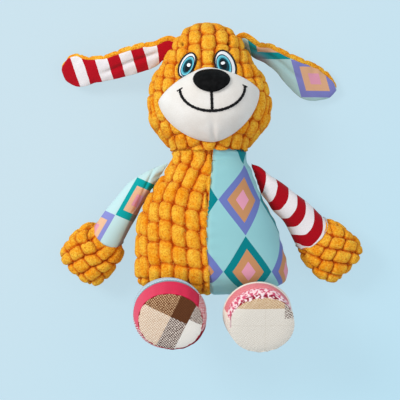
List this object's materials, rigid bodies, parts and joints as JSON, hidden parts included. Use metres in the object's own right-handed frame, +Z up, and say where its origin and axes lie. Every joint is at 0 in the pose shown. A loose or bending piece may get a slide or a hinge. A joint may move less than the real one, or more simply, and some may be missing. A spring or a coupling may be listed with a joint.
{
  "type": "stuffed dog squeaky toy",
  "caption": "Stuffed dog of patchwork plush with floppy ears, soft arms and legs hinged at their seams, and a bellows squeaker in the belly.",
  "frame": {"origin": "a point of the small flat that the torso's back rests on, behind the belly", "axes": "the toy lies on its back: +X to its own left, +Y to the top of its head, +Z up out of its belly and face"},
  "size_m": [0.2855, 0.3095, 0.1251],
  "materials": {
    "orange_plush": "short corncob plush",
    "argyle_print": "smooth printed velour",
    "striped_cotton": "smooth printed velour",
    "white_plush": "short brushed pile",
    "black_thread": "satin stitch",
    "eye_embroidery": "satin stitch",
    "boot_cloth": "woven cotton",
    "check_cloth": "coarse woven check",
    "cream_cloth": "coarse woven cotton",
    "fibre_filling": "loose polyester fibre",
    "squeaker_plastic": "soft blow-moulded",
    "reed_plastic": "moulded"
  },
  "bodies": {
    "torso": {"torso_front_plush": "orange_plush", "torso_front_print": "argyle_print", "torso_back": "orange_plush", "torso_filling_front": "fibre_filling", "torso_filling_back": "fibre_filling", "squeaker_base": "squeaker_plastic", "squeaker_reed": "reed_plastic", "squeaker_bellows": "squeaker_plastic"},
    "squeaker_plate": {"squeaker_top": "squeaker_plastic"},
    "head": {"head_front": "orange_plush", "head_back": "orange_plush", "head_filling": "fibre_filling", "muzzle": "white_plush", "nose": "black_thread", "mouth_stitching": "black_thread", "right_eye": "eye_embroidery", "left_eye": "eye_embroidery"},
    "right_ear": {"right_ear_lining": "striped_cotton", "right_ear_back": "orange_plush"},
    "left_ear": {"left_ear_lining": "argyle_print", "left_ear_back": "orange_plush"},
    "right_arm": {"right_sleeve": "argyle_print", "right_paw": "orange_plush", "right_arm_filling": "fibre_filling"},
    "left_arm": {"left_sleeve": "striped_cotton", "left_paw": "orange_plush", "left_arm_filling": "fibre_filling"},
    "right_leg": {"right_leg_cover": "boot_cloth", "right_sole": "check_cloth", "right_leg_filling": "fibre_filling"},
    "left_leg": {"left_leg_cover": "boot_cloth", "left_sole": "cream_cloth", "left_leg_filling": "fibre_filling"}
  },
  "joints": [
    {"name": "neck_nod", "type": "hinge", "parent": "torso", "child": "head", "pos_m": [0, 0.09, 0.044], "axis": [1, 0, 0], "range_deg": [-12, 12], "stiffness_Nm_per_rad": 0.3},
    {"name": "right_ear_flap", "type": "hinge", "parent": "head", "child": "right_ear", "pos_m": [-0.03991, 0.18633, 0.0455], "axis": [0.4594, 0.7738, 0.4361], "range_deg": [-5, 22], "stiffness_Nm_per_rad": 0.02},
    {"name": "left_ear_flap", "type": "hinge", "parent": "head", "child": "left_ear", "pos_m": [0.02954, 0.19605, 0.044], "axis": [0.4226, -0.5913, -0.6869], "range_deg": [-12, 24], "stiffness_Nm_per_rad": 0.02},
    {"name": "right_shoulder", "type": "hinge", "parent": "torso", "child": "right_arm", "pos_m": [-0.04782, 0.06706, 0.044], "axis": [-0.7547, 0.6561, 0], "range_deg": [-25, 60], "stiffness_Nm_per_rad": 0.1},
    {"name": "left_shoulder", "type": "hinge", "parent": "torso", "child": "left_arm", "pos_m": [0.04295, 0.06341, 0.044], "axis": [-0.6884, -0.7254, 0], "range_deg": [-25, 50], "stiffness_Nm_per_rad": 0.1},
    {"name": "right_hip", "type": "hinge", "parent": "torso", "child": "right_leg", "pos_m": [-0.03675, -0.0451, 0.044], "axis": [0.9926, -0.1216, 0], "range_deg": [-3, 70], "stiffness_Nm_per_rad": 0.2},
    {"name": "left_hip", "type": "hinge", "parent": "torso", "child": "left_leg", "pos_m": [0.04004, -0.04462, 0.044], "axis": [0.9899, 0.1416, 0], "range_deg": [-3, 70], "stiffness_Nm_per_rad": 0.2},
    {"name": "squeak_press", "type": "slide", "parent": "torso", "child": "squeaker_plate", "axis": [0, 0, -1], "range_m": [0, 0.008], "stiffness_N_per_m": 600, "deforming": ["squeaker_bellows"]}
  ]
}
